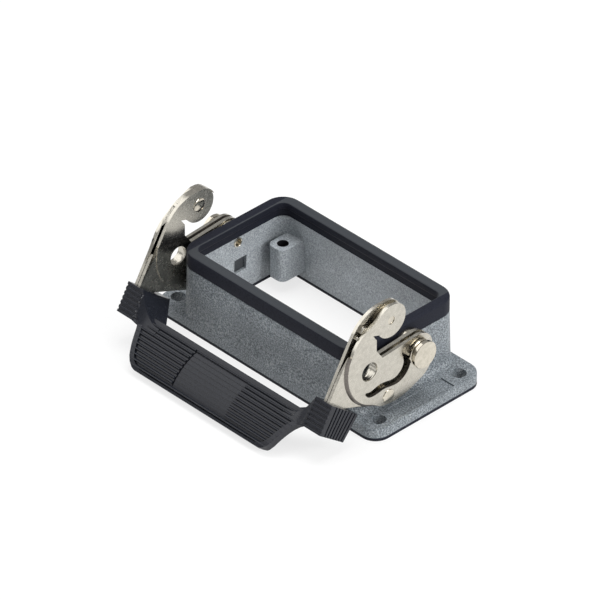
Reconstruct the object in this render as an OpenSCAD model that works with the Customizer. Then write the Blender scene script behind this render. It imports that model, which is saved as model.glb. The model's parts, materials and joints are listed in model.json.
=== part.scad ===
// Bulkhead housing of a heavy duty rectangular connector, size 10,
// with one locking lever shown in its open position.
// Millimetres. +Z is up, X runs along the long side and the lever hangs
// on the -Y side. The origin is the centre of the panel face, so the
// flange gasket stands on z = 0.

/* [Flange] */
// How far each screw end of the flange stands out past the end wall
flange_ear = 10; // [8.5:0.5:14]
// Height of the flange's top face above the panel
flange_top = 4; // [3:0.1:5]
// Corner radius of the flange
flange_r = 5; // [3:0.5:6]
// Thickness of the rubber gasket under the flange
gasket_t = 1; // [0.6:0.1:1.5]
// From the flange's end to the middle of a screw hole
flange_hole_in = 4.5; // [4:0.5:6]
// From the flange's long edge to the middle of a screw hole
flange_hole_side = 5.75; // [5:0.25:7]
// Diameter of the flange's screw holes
flange_hole_d = 4.5; // [3.5:0.1:5]
// From a screw hole's middle to the sunk, blank label field on the right
label_gap = 5.2; // [4:0.2:8]
// Depth of the sunk label field
label_depth = 0.5; // [0.2:0.1:1]

/* [Shell] */
// Outer length of the shell at its rim
shell_l = 72; // [71:0.5:76]
// Outer width of the shell at its rim
shell_w = 42; // [41:0.1:42.8]
// Vertical corner radius of the shell
shell_r = 6; // [4:0.5:7]
// Height of the whole housing, rim seal included
shell_h = 26.2; // [25:0.1:30]
// Wall thickness where the rim seal begins
wall_t = 2.8; // [2.6:0.1:3.2]
// How much further out each long wall stands at its foot than at its rim
long_wall_lean = 0.75; // [0.5:0.05:0.9]
// How much each end wall thins from the seal down to the panel
draft_x = 1; // [0.5:0.1:1.2]
// How much each long wall's inner face falls back down to the panel
draft_y = 1.35; // [0.5:0.05:1.6]
// Corner radius of the opening
bay_r = 4.6; // [3:0.1:6]
// Radius of the fillet between end wall and flange
foot_r = 2; // [1:0.1:2.5]

/* [Rim seal] */
// Height of the rubber band that caps the rim
seal_h = 5; // [4.5:0.1:6]
// How far the seal's top lip reaches inward past the wall
seal_lip = 0.6; // [0.2:0.1:1]
// Thickness of the metal tongue that stands in the seal
tongue_t = 1.4; // [1:0.1:1.6]
// Height of that tongue
tongue_h = 3.4; // [2.5:0.1:3.8]

/* [Insert bosses] */
// From the shell's outer faces to the insert's screws
insert_in = 7.5; // [7:0.25:8]
// Width of a boss along the shell
boss_w = 6.5; // [6:0.1:6.8]
// From the rim down to a boss's top face
boss_drop = 11.2; // [9:0.1:13]
// Height of a boss
boss_h = 11; // [9:0.5:12]
// Core diameter of the boss's M4 thread
insert_core_d = 3.3; // [3:0.1:3.5]
// Depth of the threaded hole
insert_depth = 9; // [6:0.5:10]

/* [Pivot] */
// From the rim seal down to the lever's pivot
pivot_drop = 1.6; // [1.6:0.1:2.2]
// Diameter of the stud where the lever turns on it
stud_d = 6; // [5:0.1:6.4]
// Diameter of the stud's rivet shank in the wall
shank_d = 3; // [2.4:0.1:3]
// Diameter of the stud's head
head_d = 8.6; // [8:0.1:10]
// Thickness of the stud's head
head_t = 1.8; // [1:0.1:2.5]
// Radial clearance between stud and lever
pivot_gap = 0.05; // [0.03:0.01:0.08]
// Diameter of the washer against the wall
wall_washer_d = 10.4; // [9:0.1:11]
// Diameter of the washer under the stud's head
head_washer_d = 7.6; // [7:0.1:8]
// Free play along the stud on each side of the lever
side_gap = 0.3; // [0.25:0.05:0.4]

/* [Lever cheeks] */
// Thickness of each lever sheet
sheet_t = 1; // [0.8:0.1:1.2]
// Clear space between the two sheets of a cheek
sheet_space = 1; // [0.8:0.1:1.2]
// Clear space between the two sheets at the handle
tail_space = 0.3; // [0.1:0.1:0.5]
// Thickness of the washer under the stud's head
head_washer_t = 0.9; // [0.6:0.1:1.2]
// Thickness of the washer between wall and lever
wall_washer_t = 1.7; // [1.4:0.1:2]
// Radius of the hook's rounded end
hook_r = 5.6; // [5:0.1:6]
// Distance from the pivot along Y to the middle of the hook's end
hook_y = 10.8; // [10.4:0.1:11.4]
// Height of the middle of the hook's end above the pivot
hook_z = 15.9; // [15.4:0.1:16.4]
// Outer radius of the eye around the pivot
eye_r = 6; // [5.6:0.1:6.4]
// Diameter of the round window through each cheek
window_d = 6; // [4:0.1:7]
// Diameter of the roller between the hook's sheets
roller_d = 9.2; // [8:0.1:10]
// Diameter of the rivets through the sheets
rivet_d = 2.6; // [2:0.1:3]

/* [Handle] */
// How far each end block stands out past the cheeks' tails
block_side = 1.7; // [1.6:0.1:3]
// From the handle's end to the grip's upper corner
grip_in = 10; // [9:0.5:11]
// How much shorter the grip is at its lower corners
grip_taper = 5; // [2:0.5:8]
// Radius of the grip's curved outer face
grip_arch_r = 17.8; // [17.4:0.1:18.2]
// Thickness of the grip
grip_t = 2.4; // [1.8:0.1:2.6]
// Radius of the grip's lower corners
grip_r = 3.5; // [2:0.5:4.5]

/* [Hidden] */
$fn = 48;
eps = 0.01;      // how far a cut runs past the face that it opens
through = 200;   // longer than anything it cuts

// Housing
end_x = shell_l / 2;                    // outer face of an end wall
seal_z = shell_h - seal_h;              // seat of the rim seal
flange_l = shell_l + 2 * flange_ear;
flange_w = shell_w + 2 * long_wall_lean;
flange_hole_x = flange_l - 2 * flange_hole_in;       // screw spacing, 83
flange_hole_y = flange_w - 2 * flange_hole_side;     // and 32
insert_x = shell_l - 2 * insert_in;     // insert screws, 57
insert_y = shell_w - 2 * insert_in;     // and 27
boss_top = shell_h - boss_drop;
pivot_z = seal_z - pivot_drop;
rim_bay_l = shell_l - 2 * wall_t;       // opening at the seal's seat
rim_bay_w = shell_w - 2 * wall_t;
foot_bay_l = rim_bay_l + 2 * draft_x;   // opening at the panel
foot_bay_w = rim_bay_w + 2 * draft_y;
tongue_in = (wall_t - tongue_t) / 2;    // step on each side of the tongue
boss_wall_y = 3.4;                      // metal on the bay side of a boss hole
boss_corner_r = 1.2;
thread_chamfer = 0.4;
pocket_w = 4.8;                         // blind pocket inside each end wall
pocket_h = 5;
pocket_z = 8.2;
pocket_y = 0.7;
pocket_depth = 1.2;
label_x = end_x + 3.6;                  // inner edge of the label field
label_edge = 1;                         // metal left at the flange's end
label_l = flange_hole_y - 2 * label_gap;

// Lever, measured outward from the end wall
inner_x = end_x + wall_washer_t + side_gap;          // inner sheet's wall side
outer_x = inner_x + sheet_t + sheet_space;           // outer sheet's wall side
tail_x = inner_x + sheet_t + tail_space;             // its joggled tail
cheek_x = outer_x + sheet_t;                         // cheek's outer face
head_x = cheek_x + side_gap + head_washer_t;         // underside of the head
roller_play = 0.05;
rivet_head_d = rivet_d + 1.8;
rivet_head_t = 0.5;
handle_half = tail_x + sheet_t + block_side;
grip_l = 2 * (handle_half - grip_in);        // at its upper edge

// Lever outline, from the pivot: first along +Y, then up
back_r = 12.4;                // radius of the rounded back above the hook
back_c = [-hook_y - 2.5, hook_z + hook_r - back_r];
joggle_c = [-12.6, 4.2];      // middle of the round step in the outer sheet
joggle_r = 15;
belly_c = [-9.2, 5.5];        // middle of the lower edge's arc
belly_r = 18.3;
mouth = [[-14.1, 5.3], [-16.5, 8.5], [-16.5, 11.8], [-17.9, 13.9], [-15.4, 13]];
window_at = [-19.2, 2.2];
lug_at = [-24.5, 13.5];       // lower corner of the bent lug on the back edge
lug_size = [3.2, 4];
heel_r = 7.4;                 // belly side of the eye
heel_c = [eye_r - heel_r - 0.2, -3.2];
eye_angles = [90, 12];
heel_angles = [12, -60];
belly_angles = [-64, -118];
back_angles = [146, 90];
hook_angles = [85, -147];
joggle_clear = 2.1;           // from the arm's spacer to the step's region
joggle_top = 12;              // upper end of that region
arm_rivet_at = [-11.7, -9.9];
slot_c = [-9.2, -0.8];        // middle of the first bend of the spring slot
slot_in = 4.2;
slot_out = 6.5;
slot_rise = 4.1;              // straight run beside the pivot hole
slot_tail = [-19.4, -5.5];
slot_w = 1.7;

// Handle block section, from the pivot, and the cheeks' entry into it
block = [[-34.9, -1.1], [-39.7, -9.2], [-30.5, -16.2], [-24.6, -9.4]];
entry_top = [-34.2, -1.7];
entry_low = [-28.8, -6.1];
tail_len = 5.6;
tail_dir = [-0.51, -0.86];
tail_inset = 0.8;
block_l = 6.4;
arch_c = [-32.4, -25.6];      // middle of the grip's arch, from the pivot
arch_upper_angle = 97.8;      // the arch's two edges, round its middle
arch_lower_angle = 153.5;
arch_slope = (arch_upper_angle + arch_lower_angle) / 2 - 90;
neck_angle = arch_upper_angle + 24;  // how far down the arch the neck reaches
neck_start_angle = arch_upper_angle + 0.5;
neck_reach = 4.8;             // how far it starts inside the grip's end
neck_inset = 0.15;
neck_slice = 0.5;

function arc(c, r, a0, a1, n) =
    [for (i = [0:n]) let (a = a0 + (a1 - a0) * i / n) c + r * [cos(a), sin(a)]];

module rounded(l, w, r) {
    square([l - 2 * r, w], center = true);
    square([l, w - 2 * r], center = true);
    for (x = [-1, 1], y = [-1, 1])
        translate([x * (l / 2 - r), y * (w / 2 - r)]) circle(r);
}

// A block whose four sides lean: l0 x w0 at z0, l1 x w1 at z1
module leaning(l0, w0, l1, w1, z0, z1, r) {
    intersection() {
        rotate([90, 0, 0])
            linear_extrude(through, center = true)
                polygon([[-l0 / 2, z0], [l0 / 2, z0], [l1 / 2, z1], [-l1 / 2, z1]]);
        rotate([90, 0, 90])
            linear_extrude(through, center = true)
                polygon([[-w0 / 2, z0], [w0 / 2, z0], [w1 / 2, z1], [-w1 / 2, z1]]);
        translate([0, 0, z0])
            linear_extrude(z1 - z0)
                rounded(max(l0, l1), max(w0, w1), r);
    }
}

module at_corners(dx, dy)
    for (x = [-1, 1], y = [-1, 1]) translate([x * dx / 2, y * dy / 2, 0]) children();

// Lays an outline drawn in the lever's plane upright, t thick from x outward
module upright(x, t)
    translate([x, 0, pivot_z])
        rotate([90, 0, 90])
            linear_extrude(t) children();

module rod(d, x0, x1, at = [0, 0])
    translate([x0, at[0], pivot_z + at[1]])
        rotate([0, 90, 0])
            cylinder(d = d, h = x1 - x0);

// ---- Housing ----

module insert_boss() {
    w = boss_w;
    reach = foot_bay_w / 2 + 0.5 - insert_y / 2 + boss_wall_y;
    translate([0, 0, boss_top - boss_h])
        linear_extrude(boss_h)
            difference() {
                translate([-w / 2, -boss_wall_y]) square([w, reach]);
                translate([-w / 2, -boss_wall_y])
                    difference() {
                        translate([-eps, -eps]) square(boss_corner_r + eps);
                        translate([boss_corner_r, boss_corner_r]) circle(boss_corner_r);
                    }
            }
}

module end_foot_fillet() {
    l = shell_w - 2 * shell_r;
    translate([end_x - eps, 0, flange_top - eps])
        difference() {
            translate([0, -l / 2, 0]) cube([foot_r, l, foot_r]);
            translate([foot_r, 0, foot_r])
                rotate([90, 0, 0]) cylinder(r = foot_r, h = through, center = true);
        }
}

module housing_shell() {
    color("#8b959e")
    difference() {
        union() {
            translate([0, 0, gasket_t])
                linear_extrude(flange_top - gasket_t)
                    rounded(flange_l, flange_w, flange_r);
            leaning(shell_l, flange_w, shell_l, shell_w, gasket_t, seal_z, shell_r);
            translate([0, 0, seal_z - eps])
                linear_extrude(tongue_h + eps)
                    rounded(shell_l - 2 * tongue_in, shell_w - 2 * tongue_in,
                            shell_r - tongue_in);
            for (s = [0, 180]) rotate(s) end_foot_fillet();
        }
        difference() {
            union() {
                leaning(foot_bay_l, foot_bay_w, rim_bay_l, rim_bay_w,
                        0, seal_z, bay_r);
                translate([0, 0, seal_z - eps])
                    linear_extrude(tongue_h + 1)
                        rounded(rim_bay_l + 2 * tongue_in, rim_bay_w + 2 * tongue_in,
                                shell_r - tongue_in - tongue_t);
            }
            for (x = [0, 1], y = [0, 1])
                mirror([x, 0, 0]) mirror([0, y, 0])
                    translate([-insert_x / 2, insert_y / 2, 0]) insert_boss();
        }
        at_corners(insert_x, insert_y) {
            translate([0, 0, boss_top - insert_depth])
                cylinder(d = insert_core_d, h = insert_depth + eps);
            translate([0, 0, boss_top - thread_chamfer])
                cylinder(d1 = insert_core_d, d2 = insert_core_d + 2 * thread_chamfer,
                         h = thread_chamfer + eps);
        }
        at_corners(flange_hole_x, flange_hole_y)
            cylinder(d = flange_hole_d, h = through, center = true);
        translate([label_x, -label_l / 2, flange_top - label_depth])
            cube([flange_l / 2 - label_edge - label_x, label_l, label_depth + eps]);
        for (s = [0, 180])
            rotate(s)
                translate([rim_bay_l / 2, pocket_y - pocket_w / 2, pocket_z])
                    cube([pocket_depth + draft_x / 2, pocket_w, pocket_h]);
        rod(shank_d, -through / 2, through / 2);
    }
}

module rim_seal() {
    color("#1d1f24")
    difference() {
        translate([0, 0, seal_z])
            linear_extrude(seal_h) rounded(shell_l, shell_w, shell_r);
        translate([0, 0, seal_z - eps])
            linear_extrude(tongue_h + eps)
                difference() {
                    rounded(shell_l - 2 * tongue_in, shell_w - 2 * tongue_in,
                            shell_r - tongue_in);
                    rounded(rim_bay_l + 2 * tongue_in, rim_bay_w + 2 * tongue_in,
                            shell_r - tongue_in - tongue_t);
                }
        translate([0, 0, seal_z - eps])
            linear_extrude(seal_h / 2)
                rounded(rim_bay_l, rim_bay_w, shell_r - wall_t);
        translate([0, 0, seal_z + seal_h / 2 - 2 * eps])
            linear_extrude(seal_h)
                rounded(rim_bay_l - 2 * seal_lip, rim_bay_w - 2 * seal_lip,
                        shell_r - wall_t - seal_lip);
    }
}

module flange_seal() {
    color("#1d1f24")
    linear_extrude(gasket_t)
        difference() {
            rounded(flange_l, flange_w, flange_r);
            rounded(foot_bay_l, foot_bay_w, bay_r);
            at_corners(flange_hole_x, flange_hole_y) circle(d = flange_hole_d);
        }
}

// ---- Pivot, drawn for the right-hand end ----

module pivot_stud() {
    wall_in = rim_bay_l / 2 + draft_x * (seal_z - pivot_z) / seal_z;
    hollow_r = 0.9;
    flare_r = shank_d / 2 + 0.4;
    flare_t = 0.5;
    bevel = 0.4;
    head_r = head_d / 2;
    color("#c9c2b4")
    translate([0, 0, pivot_z])
        rotate([0, 90, 0])
            rotate_extrude()
                polygon([[hollow_r, wall_in - flare_t], [flare_r, wall_in - flare_t],
                         [flare_r, wall_in - 0.05], [shank_d / 2, wall_in - 0.05],
                         [shank_d / 2, end_x], [stud_d / 2, end_x],
                         [stud_d / 2, head_x], [head_r, head_x],
                         [head_r, head_x + head_t - bevel],
                         [head_r - bevel, head_x + head_t], [0, head_x + head_t],
                         [0, wall_in + 1], [hollow_r, wall_in + 1]]);
}

module washer(d, x0, x1)
    color("#c9c2b4")
    difference() {
        rod(d, x0, x1);
        rod(stud_d + 0.1, x0 - 1, x1 + 1);
    }

module wall_washer() washer(wall_washer_d, end_x, end_x + wall_washer_t);
module head_washer() washer(head_washer_d, cheek_x + side_gap, head_x);

// ---- Lever, drawn for the right-hand end ----

across = (entry_low - entry_top) / norm(entry_low - entry_top);
tail_top = entry_top + tail_inset * across;
tail_low = entry_low - tail_inset * across;
tail_points = [tail_top, tail_top + tail_len * tail_dir,
               tail_low + tail_len * tail_dir, tail_low];

module cheek_outline()
    polygon(concat(
        arc([0, 0], eye_r, eye_angles[0], eye_angles[1], 8),
        arc(heel_c, heel_r, heel_angles[0], heel_angles[1], 8),
        arc(belly_c, belly_r, belly_angles[0], belly_angles[1], 10),
        [entry_low, tail_low, tail_low + tail_len * tail_dir,
         tail_top + tail_len * tail_dir, tail_top, entry_top],
        arc(back_c, back_r, back_angles[0], back_angles[1], 8),
        arc([-hook_y, hook_z], hook_r, hook_angles[0], hook_angles[1], 20),
        [for (i = [len(mouth) - 1:-1:0]) mouth[i]]));

module handle_side()
    translate([arm_rivet_at[0] - rivet_head_d / 2 - joggle_clear - through,
               joggle_top - through])
        square(through);

module spring_slot() {
    translate(slot_c)
        intersection() {
            difference() { circle(slot_out); circle(slot_in); }
            translate([0, -slot_out]) square(slot_out);
        }
    translate([slot_c[0] + slot_in, slot_c[1] - eps])
        square([slot_out - slot_in, slot_rise]);
    translate([slot_tail[0], slot_tail[1] - slot_w / 2])
        square([slot_c[0] - slot_tail[0] + eps, slot_w]);
    translate(slot_tail) circle(d = slot_w);
}

module cheek_holes() {
    rod(stud_d + 2 * pivot_gap, end_x, head_x);
    rod(window_d, end_x, head_x, window_at);
    rod(rivet_d, end_x, head_x, [-hook_y, hook_z]);
    rod(rivet_d, end_x, head_x, arm_rivet_at);
}

module inner_cheek()
    color("#cdc6b8")
    difference() {
        upright(inner_x, sheet_t) cheek_outline();
        cheek_holes();
    }

module outer_cheek() {
    color("#d5cec0")
    difference() {
        union() {
            upright(outer_x, sheet_t)
                difference() {
                    cheek_outline();
                    difference() {
                        handle_side();
                        translate(joggle_c) circle(joggle_r);
                    }
                    spring_slot();
                }
            upright(tail_x, sheet_t)
                intersection() {
                    cheek_outline();
                    difference() {
                        handle_side();
                        translate(joggle_c) circle(joggle_r - sheet_t);
                    }
                }
            upright(tail_x, cheek_x - tail_x)
                intersection() {
                    cheek_outline();
                    handle_side();
                    difference() {
                        translate(joggle_c) circle(joggle_r);
                        translate(joggle_c) circle(joggle_r - sheet_t);
                    }
                }
            upright(inner_x + sheet_t, sheet_space + eps)
                intersection() {
                    cheek_outline();
                    translate(back_c)
                        difference() {
                            circle(back_r + 1);
                            circle(back_r - sheet_t);
                        }
                    translate(lug_at) square(lug_size);
                }
        }
        cheek_holes();
    }
}

module hook_roller()
    color("#ddd8cc")
    difference() {
        rod(roller_d, inner_x + sheet_t + roller_play, outer_x - roller_play,
            [-hook_y, hook_z]);
        rod(rivet_d + 0.1, end_x, head_x, [-hook_y, hook_z]);
    }

module hook_rivet()
    color("#c9c2b4") {
        rod(rivet_d, inner_x - eps, cheek_x, [-hook_y, hook_z]);
        rod(rivet_head_d, inner_x - rivet_head_t, inner_x, [-hook_y, hook_z]);
    }

module arm_spacer()
    color("#c9c2b4")
    difference() {
        rod(rivet_head_d, inner_x + sheet_t, outer_x, arm_rivet_at);
        rod(rivet_d, end_x, head_x, arm_rivet_at);
    }

module arm_rivet()
    color("#c9c2b4") {
        rod(rivet_d, inner_x, cheek_x + eps, arm_rivet_at);
        rod(rivet_head_d, cheek_x, cheek_x + rivet_head_t, arm_rivet_at);
    }

module arch_section(from, to, inset, n)
    polygon(concat(arc(arch_c, grip_arch_r - inset, from, to, n),
                   arc(arch_c, grip_arch_r - grip_t + inset, to, from, n)));

// The curved grip: an arch along X, trimmed by its outline from above
module grip_plate() {
    upper = grip_l / 2;
    lower = (grip_l - grip_taper) / 2;
    chord = 2 * grip_arch_r * sin((arch_lower_angle - arch_upper_angle) / 2);
    intersection() {
        upright(-upper, 2 * upper) arch_section(arch_upper_angle, arch_lower_angle, 0, 14);
        translate([0, arch_c[0], pivot_z + arch_c[1]])
            rotate([arch_slope, 0, 0])
                linear_extrude(2 * grip_arch_r)
                    union() {
                        h = chord / 2;
                        polygon([[-upper, h + 1], [upper, h + 1], [lower, grip_r - h],
                                 [lower - grip_r, -h], [grip_r - lower, -h],
                                 [-lower, grip_r - h]]);
                        for (s = [-1, 1])
                            translate([s * (lower - grip_r), grip_r - h]) circle(grip_r);
                    }
    }
}

// Blends the end of the grip into the block
module neck() {
    hull() {
        upright(grip_l / 2 - neck_reach, neck_slice)
            arch_section(neck_start_angle, neck_angle, neck_inset, 3);
        upright(handle_half - block_l, neck_slice) polygon(block);
    }
}

module lever_handle()
    color("#23252e")
    difference() {
        union() {
            grip_plate();
            for (s = [0, 1])
                mirror([s, 0, 0]) {
                    neck();
                    upright(handle_half - block_l, block_l) polygon(block);
                }
        }
        for (s = [0, 1])
            mirror([s, 0, 0])
                upright(inner_x, tail_x + sheet_t - inner_x)
                    polygon(concat(tail_points, [tail_low - 2 * tail_dir,
                                                 tail_top - 2 * tail_dir]));
    }

module left_pivot_stud() mirror([1, 0, 0]) pivot_stud();
module right_pivot_stud() pivot_stud();
module left_wall_washer() mirror([1, 0, 0]) wall_washer();
module right_wall_washer() wall_washer();
module left_head_washer() mirror([1, 0, 0]) head_washer();
module right_head_washer() head_washer();
module left_inner_cheek() mirror([1, 0, 0]) inner_cheek();
module right_inner_cheek() inner_cheek();
module left_outer_cheek() mirror([1, 0, 0]) outer_cheek();
module right_outer_cheek() outer_cheek();
module left_hook_roller() mirror([1, 0, 0]) hook_roller();
module right_hook_roller() hook_roller();
module left_hook_rivet() mirror([1, 0, 0]) hook_rivet();
module right_hook_rivet() hook_rivet();
module left_arm_spacer() mirror([1, 0, 0]) arm_spacer();
module right_arm_spacer() arm_spacer();
module left_arm_rivet() mirror([1, 0, 0]) arm_rivet();
module right_arm_rivet() arm_rivet();

housing_shell();
rim_seal();
flange_seal();
left_pivot_stud();
right_pivot_stud();
left_wall_washer();
right_wall_washer();
left_head_washer();
right_head_washer();
left_inner_cheek();
right_inner_cheek();
left_outer_cheek();
right_outer_cheek();
left_hook_roller();
right_hook_roller();
left_hook_rivet();
right_hook_rivet();
left_arm_spacer();
right_arm_spacer();
left_arm_rivet();
right_arm_rivet();
lever_handle();
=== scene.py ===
# %% [markdown]
# # A connector housing with a locking lever
# The object is the panel half of a heavy duty rectangular connector. A grey
# cast housing stands on a flange with four screw holes, a black rubber band
# caps its rim, and a nickel plated lever with a black ribbed handle hangs open
# on its front side. The CAD model gives every size. In Blender each part is
# modelled again with rounded edges and its finish, exactly where the CAD says.

# %% Load the fixed frame
import json
import math

import bmesh
import bpy
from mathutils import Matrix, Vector

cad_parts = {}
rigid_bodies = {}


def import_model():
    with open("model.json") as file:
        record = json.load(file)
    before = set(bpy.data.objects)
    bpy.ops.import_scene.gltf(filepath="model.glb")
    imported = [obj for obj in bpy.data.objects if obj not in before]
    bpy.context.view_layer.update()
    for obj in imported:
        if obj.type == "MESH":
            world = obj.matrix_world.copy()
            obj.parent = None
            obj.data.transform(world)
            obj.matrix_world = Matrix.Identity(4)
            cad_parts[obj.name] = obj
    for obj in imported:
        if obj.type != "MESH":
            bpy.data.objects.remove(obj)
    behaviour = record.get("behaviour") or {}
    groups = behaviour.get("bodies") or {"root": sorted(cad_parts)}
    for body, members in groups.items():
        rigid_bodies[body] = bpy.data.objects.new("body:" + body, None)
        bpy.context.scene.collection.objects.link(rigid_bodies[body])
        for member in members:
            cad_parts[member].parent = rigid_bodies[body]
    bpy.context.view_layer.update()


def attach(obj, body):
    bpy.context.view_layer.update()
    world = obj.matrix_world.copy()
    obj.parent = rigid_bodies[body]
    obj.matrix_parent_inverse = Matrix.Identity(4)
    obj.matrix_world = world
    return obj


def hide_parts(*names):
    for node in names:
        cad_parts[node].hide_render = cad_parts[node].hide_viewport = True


for leftover in list(bpy.data.objects):
    bpy.data.objects.remove(leftover)
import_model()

# %% [markdown]
# ## Small helpers
# All numbers below are millimetres, as in the CAD source, and are turned into
# metres where a vertex is made. An operator works on whatever is selected, so
# each step first takes one object alone, and edges or faces are chosen in code
# by their place or normal instead of by a mouse click.

# %% Select and edit one object at a time
MM = 0.001
CLOSE = 1e-3  # two places nearer than this are the same one


def take(piece):
    if bpy.context.object and bpy.context.object.mode != "OBJECT":
        bpy.ops.object.mode_set(mode="OBJECT")
    bpy.ops.object.select_all(action="DESELECT")
    piece.select_set(True)
    bpy.context.view_layer.objects.active = piece


def start_edit(piece, kind="VERT"):
    take(piece)
    bpy.ops.object.mode_set(mode="EDIT")
    bpy.ops.mesh.select_mode(type=kind)
    bpy.ops.mesh.select_all(action="DESELECT")


def end_edit():
    bpy.ops.object.mode_set(mode="OBJECT")


def choose_verts(piece, wanted):
    mesh = bmesh.from_edit_mesh(piece.data)
    for vert in mesh.verts:
        vert.select_set(bool(wanted(vert.co / MM)))
    mesh.select_flush(True)
    bmesh.update_edit_mesh(piece.data)


# %% [markdown]
# Outlines are drawn the way one draws by hand: a plane is merged to one
# vertex, and that vertex is extruded from point to point. Closing the chain
# and filling it gives a face, and extruding the face gives a plate.


# %% Draw a chain of vertices, fill it and pull it into a plate
def start_point(name, at):
    bpy.ops.object.select_all(action="DESELECT")
    bpy.ops.mesh.primitive_plane_add(size=MM, location=(0, 0, 0))
    piece = bpy.context.object
    piece.name = name
    bpy.ops.object.mode_set(mode="EDIT")
    bpy.ops.mesh.select_mode(type="VERT")
    bpy.ops.mesh.select_all(action="SELECT")
    bpy.ops.mesh.merge(type="CENTER")
    bpy.ops.transform.translate(value=Vector(at) * MM)
    return piece


def draw_chain(name, points, closed=True):
    piece = start_point(name, points[0])
    for here, there in zip(points, points[1:]):
        step = (Vector(there) - Vector(here)) * MM
        bpy.ops.mesh.extrude_vertices_move(TRANSFORM_OT_translate={"value": step})
    if closed:
        first, last = Vector(points[0]), Vector(points[-1])
        choose_verts(piece, lambda p: min((p - first).length, (p - last).length) < CLOSE)
        bpy.ops.mesh.edge_face_add()
    return piece


def draw_plate(name, points, pull):
    piece = draw_chain(name, points)
    bpy.ops.mesh.select_all(action="SELECT")
    bpy.ops.mesh.edge_face_add()
    bpy.ops.mesh.extrude_region_move(
        TRANSFORM_OT_translate={"value": Vector(pull) * MM}
    )
    face_out(piece)
    return piece


def face_out(piece):
    start_edit(piece)
    bpy.ops.mesh.select_all(action="SELECT")
    bpy.ops.mesh.remove_doubles(threshold=1e-6)
    bpy.ops.mesh.normals_make_consistent(inside=False)
    end_edit()


def arc(middle, radius, start, stop, steps):
    """Points from the angle start to the angle stop, both in degrees."""
    turn = [math.radians(start + (stop - start) * i / steps) for i in range(steps + 1)]
    return [
        (middle[0] + radius * math.cos(a), middle[1] + radius * math.sin(a))
        for a in turn
    ]


# %% [markdown]
# Cuts and joints are boolean modifiers, and every stamped, cast or moulded
# edge then gets a small bevel, because no real edge is perfectly sharp and the
# thin highlight along it is what makes the part look real.


# %% Cut, join, round and put in place
def apply_boolean(piece, tool, how):
    take(piece)
    step = piece.modifiers.new("boolean", "BOOLEAN")
    step.operation = how
    step.solver = "EXACT"
    step.object = tool
    bpy.ops.object.modifier_apply(modifier=step.name)
    bpy.data.objects.remove(tool)


def cut(piece, tool):
    apply_boolean(piece, tool, "DIFFERENCE")


def join(piece, other):
    apply_boolean(piece, other, "UNION")


def keep_inside(piece, tool):
    apply_boolean(piece, tool, "INTERSECT")


def round_edges(piece, width, segments=2, angle=35):
    take(piece)
    step = piece.modifiers.new("bevel", "BEVEL")
    step.width = width * MM
    step.segments = segments
    step.limit_method = "ANGLE"
    step.angle_limit = math.radians(angle)
    step.miter_outer = "MITER_ARC"
    bpy.ops.object.modifier_apply(modifier=step.name)


def smooth(piece, angle=35):
    take(piece)
    bpy.ops.object.shade_smooth_by_angle(angle=math.radians(angle))
    step = piece.modifiers.new("normals", "WEIGHTED_NORMAL")
    step.keep_sharp = True
    bpy.ops.object.modifier_apply(modifier=step.name)


def settle(piece, body, material, stands_for):
    """Give a finished piece its material, its body and the nodes it shows."""
    take(piece)
    bpy.ops.object.transform_apply(location=True, rotation=True, scale=True)
    piece.data.materials.clear()
    piece.data.materials.append(material)
    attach(piece, body)
    if stands_for:
        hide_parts(*stands_for)
    size = piece.dimensions / MM
    print(f"{piece.name}: {size.x:.1f} x {size.y:.1f} x {size.z:.1f} mm")


def peg(diameter, x0, x1, y, z, sides=48):
    """A cylinder along X."""
    bpy.ops.object.select_all(action="DESELECT")
    bpy.ops.mesh.primitive_cylinder_add(
        vertices=sides,
        radius=diameter / 2 * MM,
        depth=abs(x1 - x0) * MM,
        location=((x0 + x1) / 2 * MM, y * MM, z * MM),
        rotation=(0, math.pi / 2, 0),
    )
    return bpy.context.object


def post(diameter, z0, z1, x, y, sides=48):
    """A cylinder along Z."""
    bpy.ops.object.select_all(action="DESELECT")
    bpy.ops.mesh.primitive_cylinder_add(
        vertices=sides,
        radius=diameter / 2 * MM,
        depth=(z1 - z0) * MM,
        location=(x * MM, y * MM, (z0 + z1) / 2 * MM),
    )
    return bpy.context.object


def block(low, high):
    low, high = Vector(low), Vector(high)
    bpy.ops.object.select_all(action="DESELECT")
    bpy.ops.mesh.primitive_cube_add(size=1, location=(low + high) / 2 * MM)
    piece = bpy.context.object
    piece.scale = (high - low) * MM
    take(piece)
    bpy.ops.object.transform_apply(location=False, rotation=False, scale=True)
    return piece


def mirrored(piece, name):
    """A copy of a piece for the other end, with X turned round."""
    take(piece)
    bpy.ops.object.duplicate()
    twin = bpy.context.object
    twin.name = name
    start_edit(twin)
    bpy.ops.mesh.select_all(action="SELECT")
    bpy.ops.transform.resize(value=(-1, 1, 1), center_override=(0, 0, 0))
    end_edit()
    face_out(twin)
    return twin


# %% [markdown]
# ## Camera
# A long lens from far away keeps the parallel edges of a small product nearly
# parallel. The camera stands front right and above, so that the open bay, one
# cheek of the lever and the whole handle are seen at once.

# %% Camera
eye = Vector((1.2031, -1.1614, 1.2055))
look = -Vector((0.5880, -0.5642, 0.5796))
bpy.ops.object.camera_add(location=eye)
camera = bpy.context.object
camera.rotation_mode = "QUATERNION"
camera.rotation_quaternion = look.to_track_quat("-Z", "Y")
camera.data.lens = 430
camera.data.sensor_width = 36
camera.data.clip_start = 0.1
camera.data.clip_end = 10
bpy.context.scene.camera = camera
print("camera looks along", tuple(round(part, 3) for part in look))

# %% [markdown]
# ## Shader helpers
# A finish is a small graph of nodes. These helpers add one node each, so that
# the finishes below read as short recipes.


# %% Materials, sums and mixes
def new_material(name):
    material = bpy.data.materials.new(name)
    material.use_nodes = True
    return material, material.node_tree.nodes, material.node_tree.links


def shader_of(nodes):
    return nodes["Principled BSDF"]


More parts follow.
